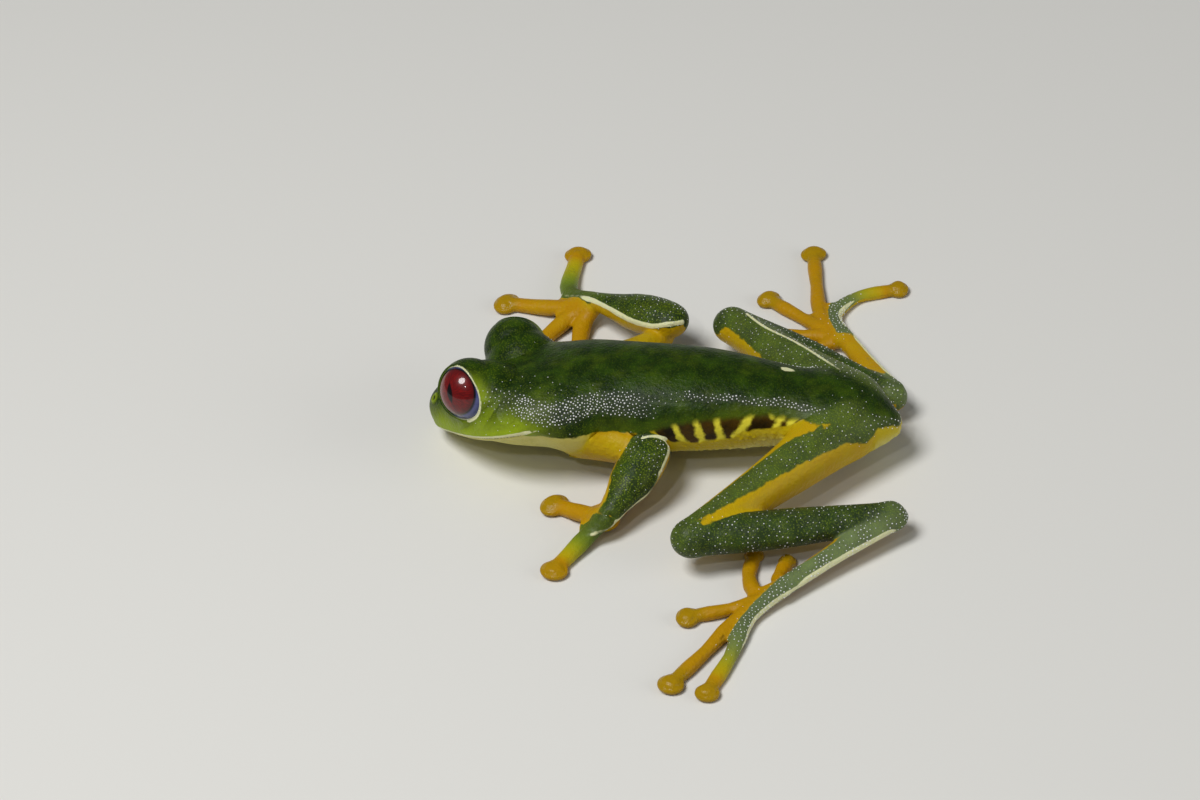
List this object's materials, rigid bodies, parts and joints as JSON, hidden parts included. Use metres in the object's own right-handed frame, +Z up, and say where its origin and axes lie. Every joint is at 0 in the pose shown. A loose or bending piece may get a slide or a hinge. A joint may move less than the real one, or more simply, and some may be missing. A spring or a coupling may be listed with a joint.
{
  "type": "red-eyed tree frog",
  "caption": "Life-size still model of a green tree frog with red eyes, at rest on a flat floor with its limbs folded and its sticky toe discs spread.",
  "frame": {"origin": "middle of the base of the bounding box, on the floor under the frog", "axes": "+Z up; -X the way the frog points; -Y towards the frog's own left side"},
  "size_m": [0.0542, 0.0762, 0.0125],
  "materials": {
    "back_skin": "moist, smooth, fine-grained leaf-green skin with white specks",
    "limb_skin": "moist green skin with white specks, orange and yellow where limbs fold",
    "belly_skin": "moist, granular cream skin",
    "digit_skin": "smooth moist orange skin",
    "eye": "clear wet gloss over a crimson iris with an upright black pupil"
  },
  "bodies": {
    "root": {"head": "back_skin", "jaw": "belly_skin", "trunk": "back_skin", "eye_left": "eye", "upper_arm_left": "digit_skin", "forearm_left": "limb_skin", "hand_left": "digit_skin", "finger_left_1": "digit_skin", "finger_left_2": "digit_skin", "finger_left_3": "digit_skin", "finger_left_4": "digit_skin", "thigh_left": "limb_skin", "shank_left": "limb_skin", "tarsus_left": "limb_skin", "foot_left": "digit_skin", "toe_left_1": "digit_skin", "toe_left_2": "digit_skin", "toe_left_3": "digit_skin", "toe_left_4": "digit_skin", "toe_left_5": "digit_skin", "eye_right": "eye", "upper_arm_right": "digit_skin", "forearm_right": "limb_skin", "hand_right": "digit_skin", "finger_right_1": "digit_skin", "finger_right_2": "digit_skin", "finger_right_3": "digit_skin", "finger_right_4": "digit_skin", "thigh_right": "limb_skin", "shank_right": "limb_skin", "tarsus_right": "limb_skin", "foot_right": "digit_skin", "toe_right_1": "digit_skin", "toe_right_2": "digit_skin", "toe_right_3": "digit_skin", "toe_right_4": "digit_skin", "toe_right_5": "digit_skin"}
  },
  "joints": []
}
